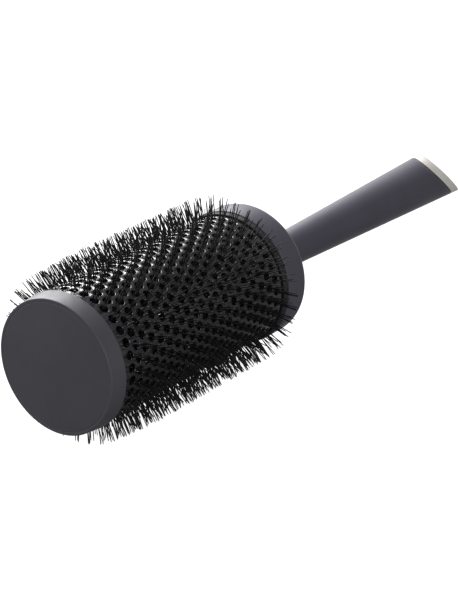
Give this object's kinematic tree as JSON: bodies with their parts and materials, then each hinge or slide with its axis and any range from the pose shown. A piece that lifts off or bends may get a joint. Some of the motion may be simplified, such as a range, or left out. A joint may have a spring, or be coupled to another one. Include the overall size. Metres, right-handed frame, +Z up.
{
  "type": "round barrel hair brush",
  "caption": "Round vented hair brush: ceramic-coated metal barrel with nylon bristles through its vents, soft-touch cap and collar, and a tapered handle with an oblique metal end.",
  "frame": {"origin": "centre of the bottom of the bounding box: on the surface that the bristle tips rest on, half way along the brush", "axes": "+X along the barrel axis from the front cap towards the handle's end, +Z up, +Y to the left when looking from the cap towards the handle"},
  "size_m": [0.2992, 0.0744, 0.0743],
  "materials": {
    "cap_soft_touch": "matte",
    "bulkhead_nylon": "matte",
    "barrel_ceramic": "gloss",
    "bristle_nylon": "satin",
    "core_steel": "satin",
    "seal_rubber": "matte",
    "collar_soft_touch": "matte",
    "ferrule_brass": "satin",
    "handle_core_plastic": "matte",
    "grip_soft_touch": "matte",
    "plug_metal": "satin"
  },
  "bodies": {
    "root": {"front_cap": "cap_soft_touch", "front_bulkhead": "bulkhead_nylon", "barrel": "barrel_ceramic", "bristle_row_01": "bristle_nylon", "bristle_row_02": "bristle_nylon", "bristle_row_03": "bristle_nylon", "bristle_row_04": "bristle_nylon", "bristle_row_05": "bristle_nylon", "bristle_row_06": "bristle_nylon", "bristle_row_07": "bristle_nylon", "bristle_row_08": "bristle_nylon", "bristle_row_09": "bristle_nylon", "bristle_row_10": "bristle_nylon", "bristle_row_11": "bristle_nylon", "bristle_row_12": "bristle_nylon", "bristle_row_13": "bristle_nylon", "bristle_row_14": "bristle_nylon", "bristle_row_15": "bristle_nylon", "bristle_row_16": "bristle_nylon", "bristle_row_17": "bristle_nylon", "bristle_row_18": "bristle_nylon", "bristle_row_19": "bristle_nylon", "bristle_row_20": "bristle_nylon", "bristle_row_21": "bristle_nylon", "core_wire_a": "core_steel", "core_wire_b": "core_steel", "rear_bulkhead": "bulkhead_nylon", "seal_ring": "seal_rubber", "rear_collar": "collar_soft_touch", "wire_ferrule": "ferrule_brass", "handle_core": "handle_core_plastic", "grip_sleeve": "grip_soft_touch", "end_plug": "plug_metal"}
  },
  "joints": []
}
